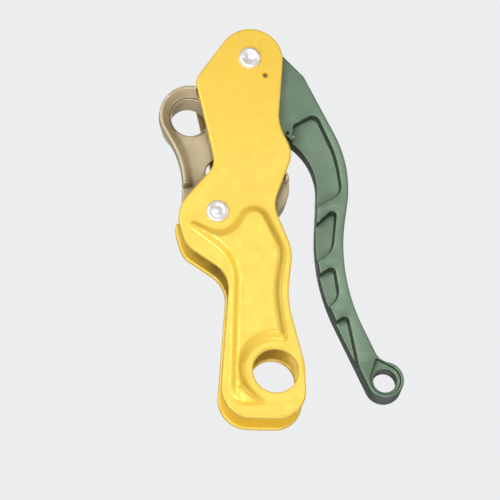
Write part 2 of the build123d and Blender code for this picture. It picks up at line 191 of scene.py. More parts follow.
class Loop:
    """Closed line in the X-Z plane, anticlockwise, that measures how deep a point lies inside it."""

    STRAIGHT = 3  # how many times wider points are spaced on straight runs
    CHUNK = 3000  # points measured at a time
    SLACK = 0.02  # how far a rail's point may be from its distance before it counts as folded

    def __init__(self, points: list[Place]) -> None:
        """Keeps the corner points of the line."""
        self.points = np.array(points)

    @classmethod
    def belt(cls, pulleys: list[Pulley], step: float = STEP) -> "Loop":
        """Line of a belt that runs anticlockwise round pulleys.

        Args:
            pulleys: Centre and radius of each pulley. A negative radius is a hollow.
            step: Spacing of the points on curved runs.

        Returns:
            The closed line.
        """
        headings = [heading(a, b) for a, b in zip(pulleys, pulleys[1:] + pulleys[:1])]
        points: list[Place] = []
        for i, pulley in enumerate(pulleys):
            turn = (headings[i] - headings[i - 1]) % math.tau
            if pulley[2] < 0:
                turn -= math.tau
            count = max(3, math.ceil(abs(turn * pulley[2]) / step))
            points += [around(pulley, headings[i - 1] + turn * k / count) for k in range(count + 1)]
            start, end = points[-1], around(pulleys[(i + 1) % len(pulleys)], headings[i])
            runs = math.ceil(math.dist(start, end) / (cls.STRAIGHT * step))
            points += [
                (start[0] + (end[0] - start[0]) * k / runs, start[1] + (end[1] - start[1]) * k / runs)
                for k in range(1, runs)
            ]
        return cls([p for p, q in zip(points, points[1:] + points[:1]) if math.dist(p, q) > TOUCH])

    @classmethod
    def circle(cls, centre: Place, radius: float, step: float = STEP) -> "Loop":
        """Circle with points about step apart."""
        count = max(24, math.ceil(math.tau * radius / step))
        return cls([spoke(centre, radius, math.tau * k / count) for k in range(count)])

    def depth(self, where: np.ndarray) -> np.ndarray:
        """Distance of each point from the line, positive inside it.

        Args:
            where: Points as rows of x and z.

        Returns:
            One distance for each point.
        """
        start = self.points
        run = np.roll(start, -1, axis=0) - start
        length2 = (run**2).sum(1)
        found = []
        for k in range(0, len(where), self.CHUNK):
            gap = where[k:k + self.CHUNK, None, :] - start[None]
            share = np.clip((gap * run).sum(2) / length2, 0, 1)
            away = np.sqrt(((gap - share[..., None] * run) ** 2).sum(2)).min(1)
            above = gap[..., 1] >= 0
            crosses = above != (gap[..., 1] - run[:, 1] >= 0)
            slope = np.where(run[:, 1] == 0, 1.0, run[:, 1])
            left = gap[..., 0] < run[:, 0] * gap[..., 1] / slope
            inside = (crosses & left).sum(1) % 2 == 1
            found.append(np.where(inside, away, -away))
        return np.concatenate(found)

    def rail(self, offset: float) -> tuple[np.ndarray, list[tuple[int, int]]]:
        """Line at a distance inside this one, without the stretches that fold over.

        Args:
            offset: Distance inside the line. A negative one is outside.

        Returns:
            The rail's points, and the pairs of them that an edge joins.
        """
        along = np.roll(self.points, -1, axis=0) - np.roll(self.points, 1, axis=0)
        along /= np.linalg.norm(along, axis=1)[:, None]
        moved = self.points + offset * np.stack([-along[:, 1], along[:, 0]], axis=1)
        kept = np.abs(self.depth(moved) - offset) < self.SLACK + self.SLACK * abs(offset)
        count = len(moved)
        pairs = [(i, (i + 1) % count) for i in range(count) if kept[i] and kept[(i + 1) % count]]
        used = sorted({i for pair in pairs for i in pair})
        place = {old: new for new, old in enumerate(used)}
        return moved[used], [(place[i], place[j]) for i, j in pairs]


def smooth(value: np.ndarray, low: float, high: float) -> np.ndarray:
    """Soft step from 0 at low to 1 at high."""
    t = np.clip((value - low) / (high - low), 0, 1)
    return t * t * (3 - 2 * t)


def distance(where: np.ndarray, centre: Place) -> np.ndarray:
    """Distance of each point from a centre."""
    return np.hypot(where[:, 0] - centre[0], where[:, 1] - centre[1])


# ---------------------------------------------------------------- makers of meshes


def only(piece: bpy.types.Object) -> None:
    """Selects one object and makes it the active one.

    Args:
        piece: Object to select.
    """
    if bpy.context.object and bpy.context.object.mode == "EDIT":
        bpy.ops.object.mode_set(mode="OBJECT")
    bpy.ops.object.select_all(action="DESELECT")
    piece.select_set(True)
    bpy.context.view_layer.objects.active = piece


def shade(piece: bpy.types.Object) -> None:
    """Shades a piece smooth, apart from its sharp edges."""
    only(piece)
    bpy.ops.object.shade_smooth_by_angle(angle=SMOOTH)


def close_up(piece: bpy.types.Object) -> None:
    """Merges doubles, turns the faces outwards and shades the piece.

    Args:
        piece: Object to close up.
    """
    only(piece)
    bpy.ops.object.mode_set(mode="EDIT")
    bpy.ops.mesh.select_all(action="SELECT")
    bpy.ops.mesh.remove_doubles(threshold=1e-6)
    bpy.ops.mesh.normals_make_consistent(inside=False)
    bpy.ops.object.mode_set(mode="OBJECT")
    shade(piece)


def bevel(piece: bpy.types.Object, width: float) -> None:
    """Rounds the sharp edges of a piece, three faces across, and shades it again.

    Args:
        piece: Object whose modifier is added and applied.
        width: Width of the rounding.
    """
    only(piece)
    modifier = piece.modifiers.new("rounding", "BEVEL")
    modifier.width = width * MM
    modifier.segments = 3
    modifier.limit_method = "ANGLE"
    modifier.angle_limit = math.radians(30)
    bpy.ops.object.modifier_apply(modifier=modifier.name)
    shade(piece)


def lathe(name: str, centre: Place, profile: list[Place], ring: bool = False, count: int = 96,
          rounding: float = 0.0) -> bpy.types.Object:
    """Turned piece about an axis along Y, made by extruding a circle from step to step.

    Args:
        name: Name of the piece.
        centre: Axis of the piece.
        profile: Radius and y of each step.
        ring: Whether the last step joins the first, which leaves a bore.
        count: Points round the circle.
        rounding: Width of the rounding on its edges.

    Returns:
        The finished object.
    """
    if bpy.context.object and bpy.context.object.mode == "EDIT":
        bpy.ops.object.mode_set(mode="OBJECT")
    bpy.ops.object.select_all(action="DESELECT")
    radius, y = profile[0]
    axis = Vector((centre[0] * MM, 0.0, centre[1] * MM))
    bpy.ops.mesh.primitive_circle_add(vertices=count, radius=radius * MM, rotation=(math.pi / 2, 0, 0),
                                      location=axis + Vector((0, y * MM, 0)))
    piece = bpy.context.object
    piece.name = piece.data.name = name
    bpy.ops.object.transform_apply(location=True, rotation=True, scale=True)
    bpy.ops.object.mode_set(mode="EDIT")
    bpy.ops.mesh.select_all(action="SELECT")
    if not ring:
        bpy.ops.mesh.edge_face_add()
    for (r0, y0), (r1, y1) in zip(profile, profile[1:] + profile[:1] if ring else profile[1:]):
        bpy.ops.mesh.extrude_region_move(TRANSFORM_OT_translate={"value": (0, (y1 - y0) * MM, 0)})
        share = r1 / r0
        bpy.ops.transform.resize(value=(share, 1, share), center_override=axis + Vector((0, y1 * MM, 0)))
    close_up(piece)
    if rounding:
        bevel(piece, rounding)
    return piece


@dataclass
class Relief:
    """Plate-like piece whose two faces are heights over one flat drawing.

    Attributes:
        name: Name of the piece.
        outline: Outer line.
        front: Depth in Y of the front face at each point.
        back: Depth in Y of the back face at each point.
        holes: Lines cut through the piece.
        rails: Lines that the faces follow, with their distances inside each.
        rounding: Radius of the rounded edges.
        ARC: Angles round a rounded edge, in degrees, that get a line of points.
        SLIVER: Triangles of a smaller area are dropped.
    """

    name: str
    outline: Loop
    front: Heights
    back: Heights
    holes: tuple[Loop, ...] = ()
    rails: tuple[tuple[Loop, tuple[float, ...]], ...] = ()
    rounding: float = 0.7

    ARC = (0, 22, 42, 64, 90)
    SLIVER = 1e-7

    def edge(self, where: np.ndarray) -> np.ndarray:
        """Distance of each point from the nearest edge, positive in the metal."""
        depths = [self.outline.depth(where)] + [-hole.depth(where) for hole in self.holes]
        return np.min(depths, axis=0)

    def drop(self, where: np.ndarray) -> np.ndarray:
        """How far the rounded edges fall away from a face."""
        short = np.clip(self.rounding - self.edge(where), 0, self.rounding)
        return self.rounding - np.sqrt(self.rounding**2 - short**2)

    def drawing(self) -> tuple[np.ndarray, np.ndarray]:
        """Flat drawing of the piece as triangles.

        Returns:
            The points, and the three corners of each triangle.
        """
        arc = [self.rounding * (1 - math.cos(math.radians(a))) for a in self.ARC]
        offsets = (*arc, self.rounding + 0.3)
        lines = [self.outline.rail(d) for d in offsets]
        lines += [hole.rail(-d) for hole in self.holes for d in offsets]
        lines += [loop.rail(d) for loop, chosen in self.rails for d in chosen]
        points, edges = [], []
        for places, pairs in lines:
            edges += [(i + len(points), j + len(points)) for i, j in pairs]
            points += [Vector(p) for p in places.tolist()]
        flat = delaunay_2d_cdt(points, edges, [], 0, 1e-4)
        corners, faces = np.array([tuple(v) for v in flat[0]]), np.array([list(f) for f in flat[2]])
        sides = corners[faces]
        area = np.cross(sides[:, 1] - sides[:, 0], sides[:, 2] - sides[:, 0])
        faces = faces[(self.edge(sides.mean(1)) > TOUCH) & (np.abs(area) > self.SLIVER)]
        used, faces = np.unique(faces, return_inverse=True)
        return corners[used], faces.reshape(-1, 3)

    def build(self) -> bpy.types.Object:
        """Makes the piece.

        Returns:
            The finished object.
        """
        flat, faces = self.drawing()
        count, drop = len(flat), self.drop(flat)
        layers = [np.stack([flat[:, 0], y, flat[:, 1]], axis=1)
                  for y in (self.front(flat) + drop, self.back(flat) - drop)]
        sides = {(int(f[i]), int(f[(i + 1) % 3])) for f in faces for i in range(3)}
        walls = [(j, i, i + count, j + count) for i, j in sides if (j, i) not in sides]
        fronts = [tuple(f) for f in faces.tolist()]
        backs = [(c + count, b + count, a + count) for a, b, c in fronts]
        mesh = bpy.data.meshes.new(self.name)
        mesh.from_pydata((np.concatenate(layers) * MM).tolist(), [], fronts + backs + sorted(walls))
        mesh.validate()
        piece = bpy.data.objects.new(self.name, mesh)
        bpy.context.scene.collection.objects.link(piece)
        shade(piece)
        return piece


# ---------------------------------------------------------------- finishes


class Nodes:
    """Short way to lay out the nodes of one material."""

    def __init__(self, name: str) -> None:
        """Starts a material with a Principled shader."""
        self.material = bpy.data.materials.new(name)
        self.material.use_nodes = True
        self.tree = self.material.node_tree
        self.shader = self.tree.nodes["Principled BSDF"]
        texture = self.add("ShaderNodeTexCoord")
        self.place = texture.outputs["Object"]
        self.depth = self.along(self.place)
        self.across = self.along(texture.outputs["Normal"])

    def add(self, kind: str, **settings: object) -> bpy.types.Node:
        """Adds a node and sets its properties.

        Args:
            kind: Type of the node.
            settings: Properties and their values.

        Returns:
            The node.
        """
        node = self.tree.nodes.new(kind)
        for key, value in settings.items():
            setattr(node, key, value)
        return node

    def put(self, source: object, socket: bpy.types.NodeSocket) -> None:
        """Links an output to a socket, or sets the socket's value.

        Args:
            source: Output of another node, or a value.
            socket: Input that gets it.
        """
        if isinstance(source, bpy.types.NodeSocket):
            self.tree.links.new(source, socket)
        else:
            socket.default_value = source

    def along(self, vector: bpy.types.NodeSocket) -> bpy.types.NodeSocket:
        """Share of a vector that runs along Y, through the device.

        Args:
            vector: Output that holds the vector.

        Returns:
            Its Y part.
        """
        split = self.add("ShaderNodeSeparateXYZ")
        self.put(vector, split.inputs[0])
        return split.outputs["Y"]

    def noise(self, size: float, detail: float = 4.0, stretch: Triple = (1, 1, 1)) -> bpy.types.NodeSocket:
        """Noise whose patches are about size millimetres across.

        Args:
            size: Size of a patch.
            detail: Octaves of finer noise.
            stretch: Scale of the pattern along each axis.

        Returns:
            The noise's value.
        """
        mapping = self.add("ShaderNodeMapping")
        self.put(self.place, mapping.inputs["Vector"])
        mapping.inputs["Scale"].default_value = stretch
        node = self.add("ShaderNodeTexNoise")
        self.put(mapping.outputs[0], node.inputs["Vector"])
        node.inputs["Scale"].default_value = 1 / (size * MM)
        node.inputs["Detail"].default_value = detail
        return node.outputs[0]

    def span(self, value: object, low: float, high: float, start: float = 0.0,
             end: float = 1.0) -> bpy.types.NodeSocket:
        """Maps a value from low..high to start..end, and holds it there.

        Args:
            value: What is mapped.
            low: Value that gives start.
            high: Value that gives end.
            start: Result at low and below.
            end: Result at high and above.

        Returns:
            The mapped value.
        """
        node = self.add("ShaderNodeMapRange", interpolation_type="SMOOTHSTEP")
        for socket, number in zip(node.inputs, (value, low, high, start, end)):
            self.put(number, socket)
        return node.outputs[0]

    def maths(self, operation: str, a: object, b: object) -> bpy.types.NodeSocket:
        """Result of one sum on two values.

        Args:
            operation: Name of the sum.
            a: First value.
            b: Second value.

        Returns:
            The result.
        """
        node = self.add("ShaderNodeMath", operation=operation)
        self.put(a, node.inputs[0])
        self.put(b, node.inputs[1])
        return node.outputs[0]

    def mix(self, share: object, a: object, b: object) -> bpy.types.NodeSocket:
        """Colour between a and b.

        Args:
            share: How much of b there is.
            a: First colour.
            b: Second colour.

        Returns:
            The colour.
        """
        node = self.add("ShaderNodeMix", data_type="RGBA")
        sockets = [s for s in node.inputs if s.enabled]
        for socket, value in zip(sockets, (share, a, b)):
            self.put((*value, 1.0) if isinstance(value, tuple) else value, socket)
        return next(s for s in node.outputs if s.enabled)

    def edges(self) -> bpy.types.NodeSocket:
        """How much a point stands out as an edge."""
        return self.span(self.add("ShaderNodeNewGeometry").outputs["Pointiness"], 0.55, 0.64)

    def recess(self, reach: float, low: float = 0.25, high: float = 0.85) -> bpy.types.NodeSocket:
        """How deep in a corner or pocket a point lies.

        Args:
            reach: How far away, in millimetres, a wall still counts.
            low: Openness at which it is full.
            high: Openness at which it ends.

        Returns:
            1 in a tight corner, 0 in the open.
        """
        node = self.add("ShaderNodeAmbientOcclusion", samples=12)
        node.inputs["Distance"].default_value = reach * MM
        return self.span(node.outputs["AO"], low, high, 1.0, 0.0)

    def bump(self, height: bpy.types.NodeSocket, depth: float, under: object = None) -> bpy.types.NodeSocket:
        """Bumps of depth millimetres, over other bumps if there are any.

        Args:
            height: Pattern of the bumps.
            depth: Their height in millimetres.
            under: Bumps that lie under them.

        Returns:
            The normal.
        """
        node = self.add("ShaderNodeBump")
        node.inputs["Strength"].default_value = 1.0
        node.inputs["Distance"].default_value = depth * MM
        self.put(height, node.inputs["Height"])
        if under is not None:
            self.put(under, node.inputs["Normal"])
        return node.outputs[0]

    def shade(self, **values: object) -> None:
        """Sets or links sockets of the shader. An underscore in a name stands for a space."""
        for key, value in values.items():
            self.put(value, self.shader.inputs[key.replace("_", " ")])


# Rope grime, which also stands for the painted shade inside the plates' channel.
ROPE_GRIME_AND_SHADE: Colour = (0.10, 0.045, 0.03)


@dataclass(frozen=True)
class Coat:
    """Satin coloured coat on metal, with fine grain, handling marks, edges worn paler that also carry
    painted highlights, and painted shade in corners, on walls and in the plates' inner channel.

    Attributes:
        name: Name of the material.
        colour: Colour of the coat.
        deep: Colour in its darker patches.
        wear_and_highlight: Colour along worn edges, which also paints their highlights.
        metal: How metallic the coat is.
        rough: Roughness of the clean coat.
        grain: Height of the grain.
        wear: Share of the edges that is worn paler and so carries painted highlights.
        clear: Weight of the clear seal over it.
        corner_shade: How dark the painted shade in corners is.
        patch: How much the coat varies from place to place.
        walls: How much darker the coat is on steep walls, as painted shade.
        inside: How much rope grime lies on a plate's inner face, darkest deep in the channel, where it also
            paints the channel's shade.
    """

    name: str
    colour: Colour
    deep: Colour
    wear_and_highlight: Colour
    metal: float = 0.3
    rough: float = 0.36
    grain: float = 0.012
    wear: float = 0.6
    clear: float = 0.2
    corner_shade: float = 0.6
    patch: float = 0.15
    walls: float = 0.0
    inside: float = 0.0

    def build(self) -> bpy.types.Material:
        """Makes the material.

        Returns:
            The finished material.
        """
        n = Nodes(self.name)
        flat = n.maths("ABSOLUTE", n.across, 0.0)
        patches = n.span(n.noise(26.0, 3.0), 0.35, 0.7)
        grain = n.noise(0.55, 3.0)
        fine = n.noise(0.16, 2.0)
        scuffs = n.span(n.noise(1.6, 5.0, (6.0, 1.0, 0.7)), 0.66, 0.76)
        colour = n.mix(n.maths("MULTIPLY", patches, self.patch), self.colour, self.deep)
        colour = n.mix(n.span(grain, 0.3, 0.75, 0.0, 0.10), colour, self.deep)
        # Colour of the painted shade on steep walls and in corners.
        painted_shade = tuple(0.16 * c for c in self.deep)
        # Painted shade on steep walls, darker the more a face turns away from the front.
        if self.walls:
            colour = n.mix(n.span(flat, 0.45, 0.9, self.walls, 0.0), colour, painted_shade)
        # Edges worn paler, which also paint the highlights on rounded edges and pocket lips.
        turned = n.span(flat, 0.93, 0.998, 1.0, 0.0)
        wear_and_highlight = n.maths("MULTIPLY", n.edges(), n.span(n.noise(3.2, 5.0), 0.36, 0.58, 0.0, self.wear))
        wear_and_highlight = n.maths("MULTIPLY", wear_and_highlight, turned)
        wear_and_highlight = n.maths("MAXIMUM", wear_and_highlight, n.maths("MULTIPLY", scuffs, 0.10 * self.wear))
        colour = n.mix(wear_and_highlight, colour, self.wear_and_highlight)
        # Painted shade in corners and creases, from an ambient occlusion mask.
        colour = n.mix(n.maths("MULTIPLY", n.recess(3.0), self.corner_shade), colour, painted_shade)
        # Rope grime on the plates' inner faces, faded out near open edges by an occlusion mask, so that it
        # also paints the channel's shade.
        if self.inside:
            inner = n.span(n.maths("MULTIPLY", n.across, n.depth), -0.004, -0.001, 1.0, 0.0)
            inner = n.maths("MULTIPLY", inner, n.recess(40.0, 0.36, 0.62))
            smears = n.span(n.noise(9.0, 4.0), 0.3, 0.6, 0.7, 1.0)
            inner = n.maths("MULTIPLY", n.maths("MULTIPLY", inner, smears), self.inside)
            colour = n.mix(inner, colour, ROPE_GRIME_AND_SHADE)
        rough = n.span(n.noise(5.0, 5.0), 0.3, 0.75, self.rough - 0.05, self.rough + 0.09)
        rough = n.maths("ADD", rough, n.maths("MULTIPLY", scuffs, 0.03))
        normal = n.bump(grain, self.grain)
        normal = n.bump(fine, self.grain * 0.3, normal)
        n.shade(Base_Color=colour, Roughness=rough, Normal=normal, Metallic=self.metal,
                Coat_Weight=self.clear, Coat_Roughness=0.16)
        return n.material


@dataclass(frozen=True)
class Casting:
    """Bare satin alloy, tumbled after casting, with fine pits, edges that the rope has polished and that
    also carry painted highlights, and painted shade in its corners.

    Attributes:
        name: Name of the material.
        colour: Colour of the metal.
        deep: Colour in its darker patches and pits.
        polish_and_highlight: Colour along polished edges, which also paints their highlights.
        rough: Roughness of the clean metal.
        metal: How metallic it is.
    """

    name: str
    colour: Colour
    deep: Colour
    polish_and_highlight: Colour
    rough: float = 0.42
    metal: float = 0.55

    def build(self) -> bpy.types.Material:
        """Makes the material.

        Returns:
            The finished material.
        """
        n = Nodes(self.name)
        patches = n.span(n.noise(14.0, 4.0), 0.35, 0.68)
        pits = n.span(n.noise(0.7, 4.0), 0.62, 0.74)
        grain = n.noise(0.3, 3.0)
        colour = n.mix(patches, self.colour, self.deep)
        colour = n.mix(n.maths("MULTIPLY", pits, 0.35), colour, self.deep)
        # Polished edges drawn paler, which also paint their highlights.
        colour = n.mix(n.maths("MULTIPLY", n.edges(), 0.8), colour, self.polish_and_highlight)
        # Painted shade in corners and recesses, from an ambient occlusion mask.
        painted_corner_shade = n.maths("MULTIPLY", n.recess(7.0, 0.35, 0.85), 0.75)
        colour = n.mix(painted_corner_shade, colour, tuple(0.22 * c for c in self.deep))
        rough = n.span(n.noise(3.0, 4.0), 0.3, 0.7, self.rough - 0.08, self.rough + 0.1)
        normal = n.bump(grain, 0.012)
        normal = n.bump(n.maths("SUBTRACT", 1.0, pits), 0.03, normal)
        n.shade(Base_Color=colour, Roughness=rough, Normal=normal, Metallic=self.metal)
        return n.material


@dataclass(frozen=True)
class Steel:
    """Bare metal with lathe or grinding lines, fine scratches and a patchy film of grime.

    Attributes:
        name: Name of the material.
        colour: Colour of the metal.
        grime: Colour of the film.
        rough: Roughness of the clean metal.
        line: Height of the marks.
        metal: How metallic it is. The rest stands for a matt film.
    """

    name: str
    colour: Colour
    grime: Colour
    rough: float = 0.24
    line: float = 0.006
    metal: float = 1.0

    def build(self) -> bpy.types.Material:
        """Makes the material.

        Returns:
            The finished material.
        """
        n = Nodes(self.name)
        film = n.span(n.noise(4.0, 5.0), 0.45, 0.75, 0.0, 0.55)
        strokes = n.noise(0.5, 3.0, (1.0, 1.0, 9.0))
        scratches = n.span(n.noise(0.9, 4.0, (0.6, 5.0, 4.0)), 0.62, 0.7)
        colour = n.mix(film, self.colour, self.grime)
        rough = n.span(n.noise(2.0, 4.0), 0.3, 0.75, self.rough - 0.05, self.rough + 0.12)
        rough = n.maths("ADD", rough, n.maths("MULTIPLY", scratches, 0.12))
        normal = n.bump(strokes, self.line)
        n.shade(Base_Color=colour, Roughness=rough, Normal=normal, Metallic=self.metal)
        return n.material


# Both coats carry painted shade in corners; the green one also on its walls, and the yellow one rope grime
# with painted shade in its inner channel.
YELLOW = Coat("golden_yellow_coat", (0.93, 0.62, 0.060), (0.90, 0.53, 0.042), (0.98, 0.80, 0.38),
              metal=0.25, rough=0.31, clear=0.4, corner_shade=0.12, inside=0.9)
GREEN = Coat("satin_green_coat", (0.170, 0.255, 0.170), (0.11, 0.18, 0.115), (0.44, 0.55, 0.44),
             rough=0.38, grain=0.018, wear=0.85, clear=0.1, corner_shade=0.9, patch=0.4, walls=0.85)
ALLOY = Casting("tan_bollard_alloy", (0.60, 0.51, 0.34), (0.53, 0.43, 0.27), (0.92, 0.83, 0.70))
RIVET = Steel("turned_rivet_steel", (0.92, 0.90, 0.89), (0.74, 0.68, 0.65), rough=0.28, line=0.001,
              metal=0.6)
SPRING = Steel("oiled_spring_steel", (0.24, 0.23, 0.23), (0.12, 0.10, 0.09), rough=0.4)
BRONZE = Steel("bearing_bronze", (0.62, 0.42, 0.20), (0.36, 0.22, 0.10), rough=0.34)
SHOE = Steel("ground_shoe_steel", (0.60, 0.61, 0.62), (0.40, 0.39, 0.37), rough=0.38)


class Dresser:
    """Gives pieces their finish and the body they ride on."""

    def __init__(self) -> None:
        """Makes each material once."""
        self.made = {f.name: f.build() for f in (YELLOW, GREEN, ALLOY, RIVET, SPRING, BRONZE, SHOE)}

    def carry(self, node: str, finish: Coat | Casting | Steel) -> None:
        """Gives a finish to a piece of the frame whose shape stays.

        Args:
            node: Name of the piece.
            finish: Its finish.
        """
        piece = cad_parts[node]
        piece.data.materials.clear()
        piece.data.materials.append(self.made[finish.name])
        LOG.info("%s: kept, %s", node, finish.name)

    def dress(self, piece: bpy.types.Object, finish: Coat | Casting | Steel, slot: str, body: str,
              *nodes: str) -> None:
        """Finishes a new piece.

        Args:
            piece: The new object.
            finish: Its finish.
            slot: Material slot of the record that it stands for. It is not used.
            body: Body that it rides on.
            nodes: Pieces of the frame that it stands for.
        """
        piece.data.materials.clear()
        piece.data.materials.append(self.made[finish.name])
        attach(piece, body)
        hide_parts(*nodes)
        LOG.info("%s: %d faces, %s", piece.name, len(piece.data.polygons), finish.name)


# ---------------------------------------------------------------- sub-assemblies


@dataclass
class SidePlate:
    """One of the two pressed side plates, with its raised panel and the carabiner eye.

    Attributes:
        side: Front or rear.
        eye_r: Radius of the eye.
        collar_r: Radius of the flat ground round the eye.
        slope: Width of the panel's soft slope.
        spill: How far the slope reaches outside the panel's line.
        fade: Depths below the eye between which the panel runs out into the plate.
        leg_r: Radius of the small hole for the spring's leg.
        sink_r: Radius of the countersink round that hole.
        hook: Half the width of the rear plate's hook slot.
        fine: Spacing of the points round small holes.
    """

    side: Side
    eye_r: float = 10.4
    collar_r: float = 14.0
    slope: float = 4.2
    spill: float = 1.3
    fade: tuple[float, float] = (6.5, 16.5)
    leg_r: float = 0.8
    sink_r: float = 1.7
    hook: float = 4.9
    fine: float = 0.2

    def __post_init__(self) -> None:
        """Lays out the lines of the plate."""
        self.panel = Loop.belt(PANEL_PULLEYS)
        self.hollow = Loop.belt(HOLLOW_PULLEYS)

    def outside(self, where: np.ndarray) -> np.ndarray:
        """Height of the outer face above the middle of the device.

        Args:
            where: Points as rows of x and z.

        Returns:
            One height for each point.
        """
        rise = smooth(self.panel.depth(where), -self.spill, self.slope - self.spill)
        rise *= smooth(distance(where, EYE), self.collar_r, self.collar_r + self.slope)
        rise *= 1 - smooth(-where[:, 1], *self.fade)
        front = self.side is Side.FRONT
        sink = np.clip(self.sink_r - distance(where, SPRING_HOLE), 0, 1) if front else 0
        return REAR_OUT + EMBOSS * rise - sink

    def inside(self, where: np.ndarray) -> np.ndarray:
        """Height of the inner face above the middle of the device."""
        return REAR_IN + EMBOSS * smooth(self.hollow.depth(where), -0.4, 1.4)

    def cuts(self) -> tuple[Loop, ...]:
        """Holes of this side's plate.

        Returns:
            The lines that are cut through it.
        """
        eye = Loop.circle(EYE, self.eye_r)
        if self.side is Side.FRONT:
            return (eye, Loop.circle(PIVOT, AXLE_R), Loop.circle(ANCHOR, SLEEVE_R),
                    Loop.circle(SPRING_HOLE, self.leg_r, self.fine))
        return eye, Loop.circle(PIVOT, AXLE_BORE_R), self.slot()

    def slot(self) -> Loop:
        """Slot along an arc round the upper axle, from the lower axle out of the left edge.

        Returns:
            The slot's line, anticlockwise.
        """
        reach, start = math.dist(PIVOT, ANCHOR), bearing(PIVOT, ANCHOR)
        far = [start - math.radians(a) for a in np.linspace(0, 20, 60)]
        inner = [spoke(PIVOT, reach - self.hook, a) for a in far]
        outer = [spoke(PIVOT, reach + self.hook, a) for a in far]
        cap = [spoke(ANCHOR, self.hook, start + math.pi - t) for t in np.linspace(0, math.pi, 34)[1:-1]]
        line = Loop(inner[::-1] + cap + outer)
        x, z = line.points.T
        if (x * np.roll(z, -1) - np.roll(x, -1) * z).sum() < 0:
            line.points = line.points[::-1].copy()
        return line

    def build(self, name: str) -> bpy.types.Object:
        """Makes the plate under a name.

        Args:
            name: Name of the piece.

        Returns:
            The finished object.
        """
        sign = self.side.value
        steps = tuple(np.linspace(-self.spill - 0.3, self.slope - self.spill + 0.3, 11).tolist())
        land = Loop.circle(EYE, self.collar_r)
        eye_steps = tuple((-np.linspace(-0.3, self.slope + 0.3, 9)).tolist())
        hollow_steps = (-0.7, -0.4, -0.1, 0.2, 0.5, 0.8, 1.1, 1.4, 1.7)
        rails = [(self.panel, steps), (land, eye_steps), (self.hollow, hollow_steps)]
        if self.side is Side.FRONT:
            rails.append((Loop.circle(SPRING_HOLE, self.sink_r, self.fine), (0.0, 0.4)))
        faces = [lambda w: sign * self.outside(w), lambda w: sign * self.inside(w)]
        front, back = faces if sign < 0 else faces[::-1]
        return Relief(name, Loop.belt(PLATE_PULLEYS), front, back, self.cuts(), tuple(rails)).build()


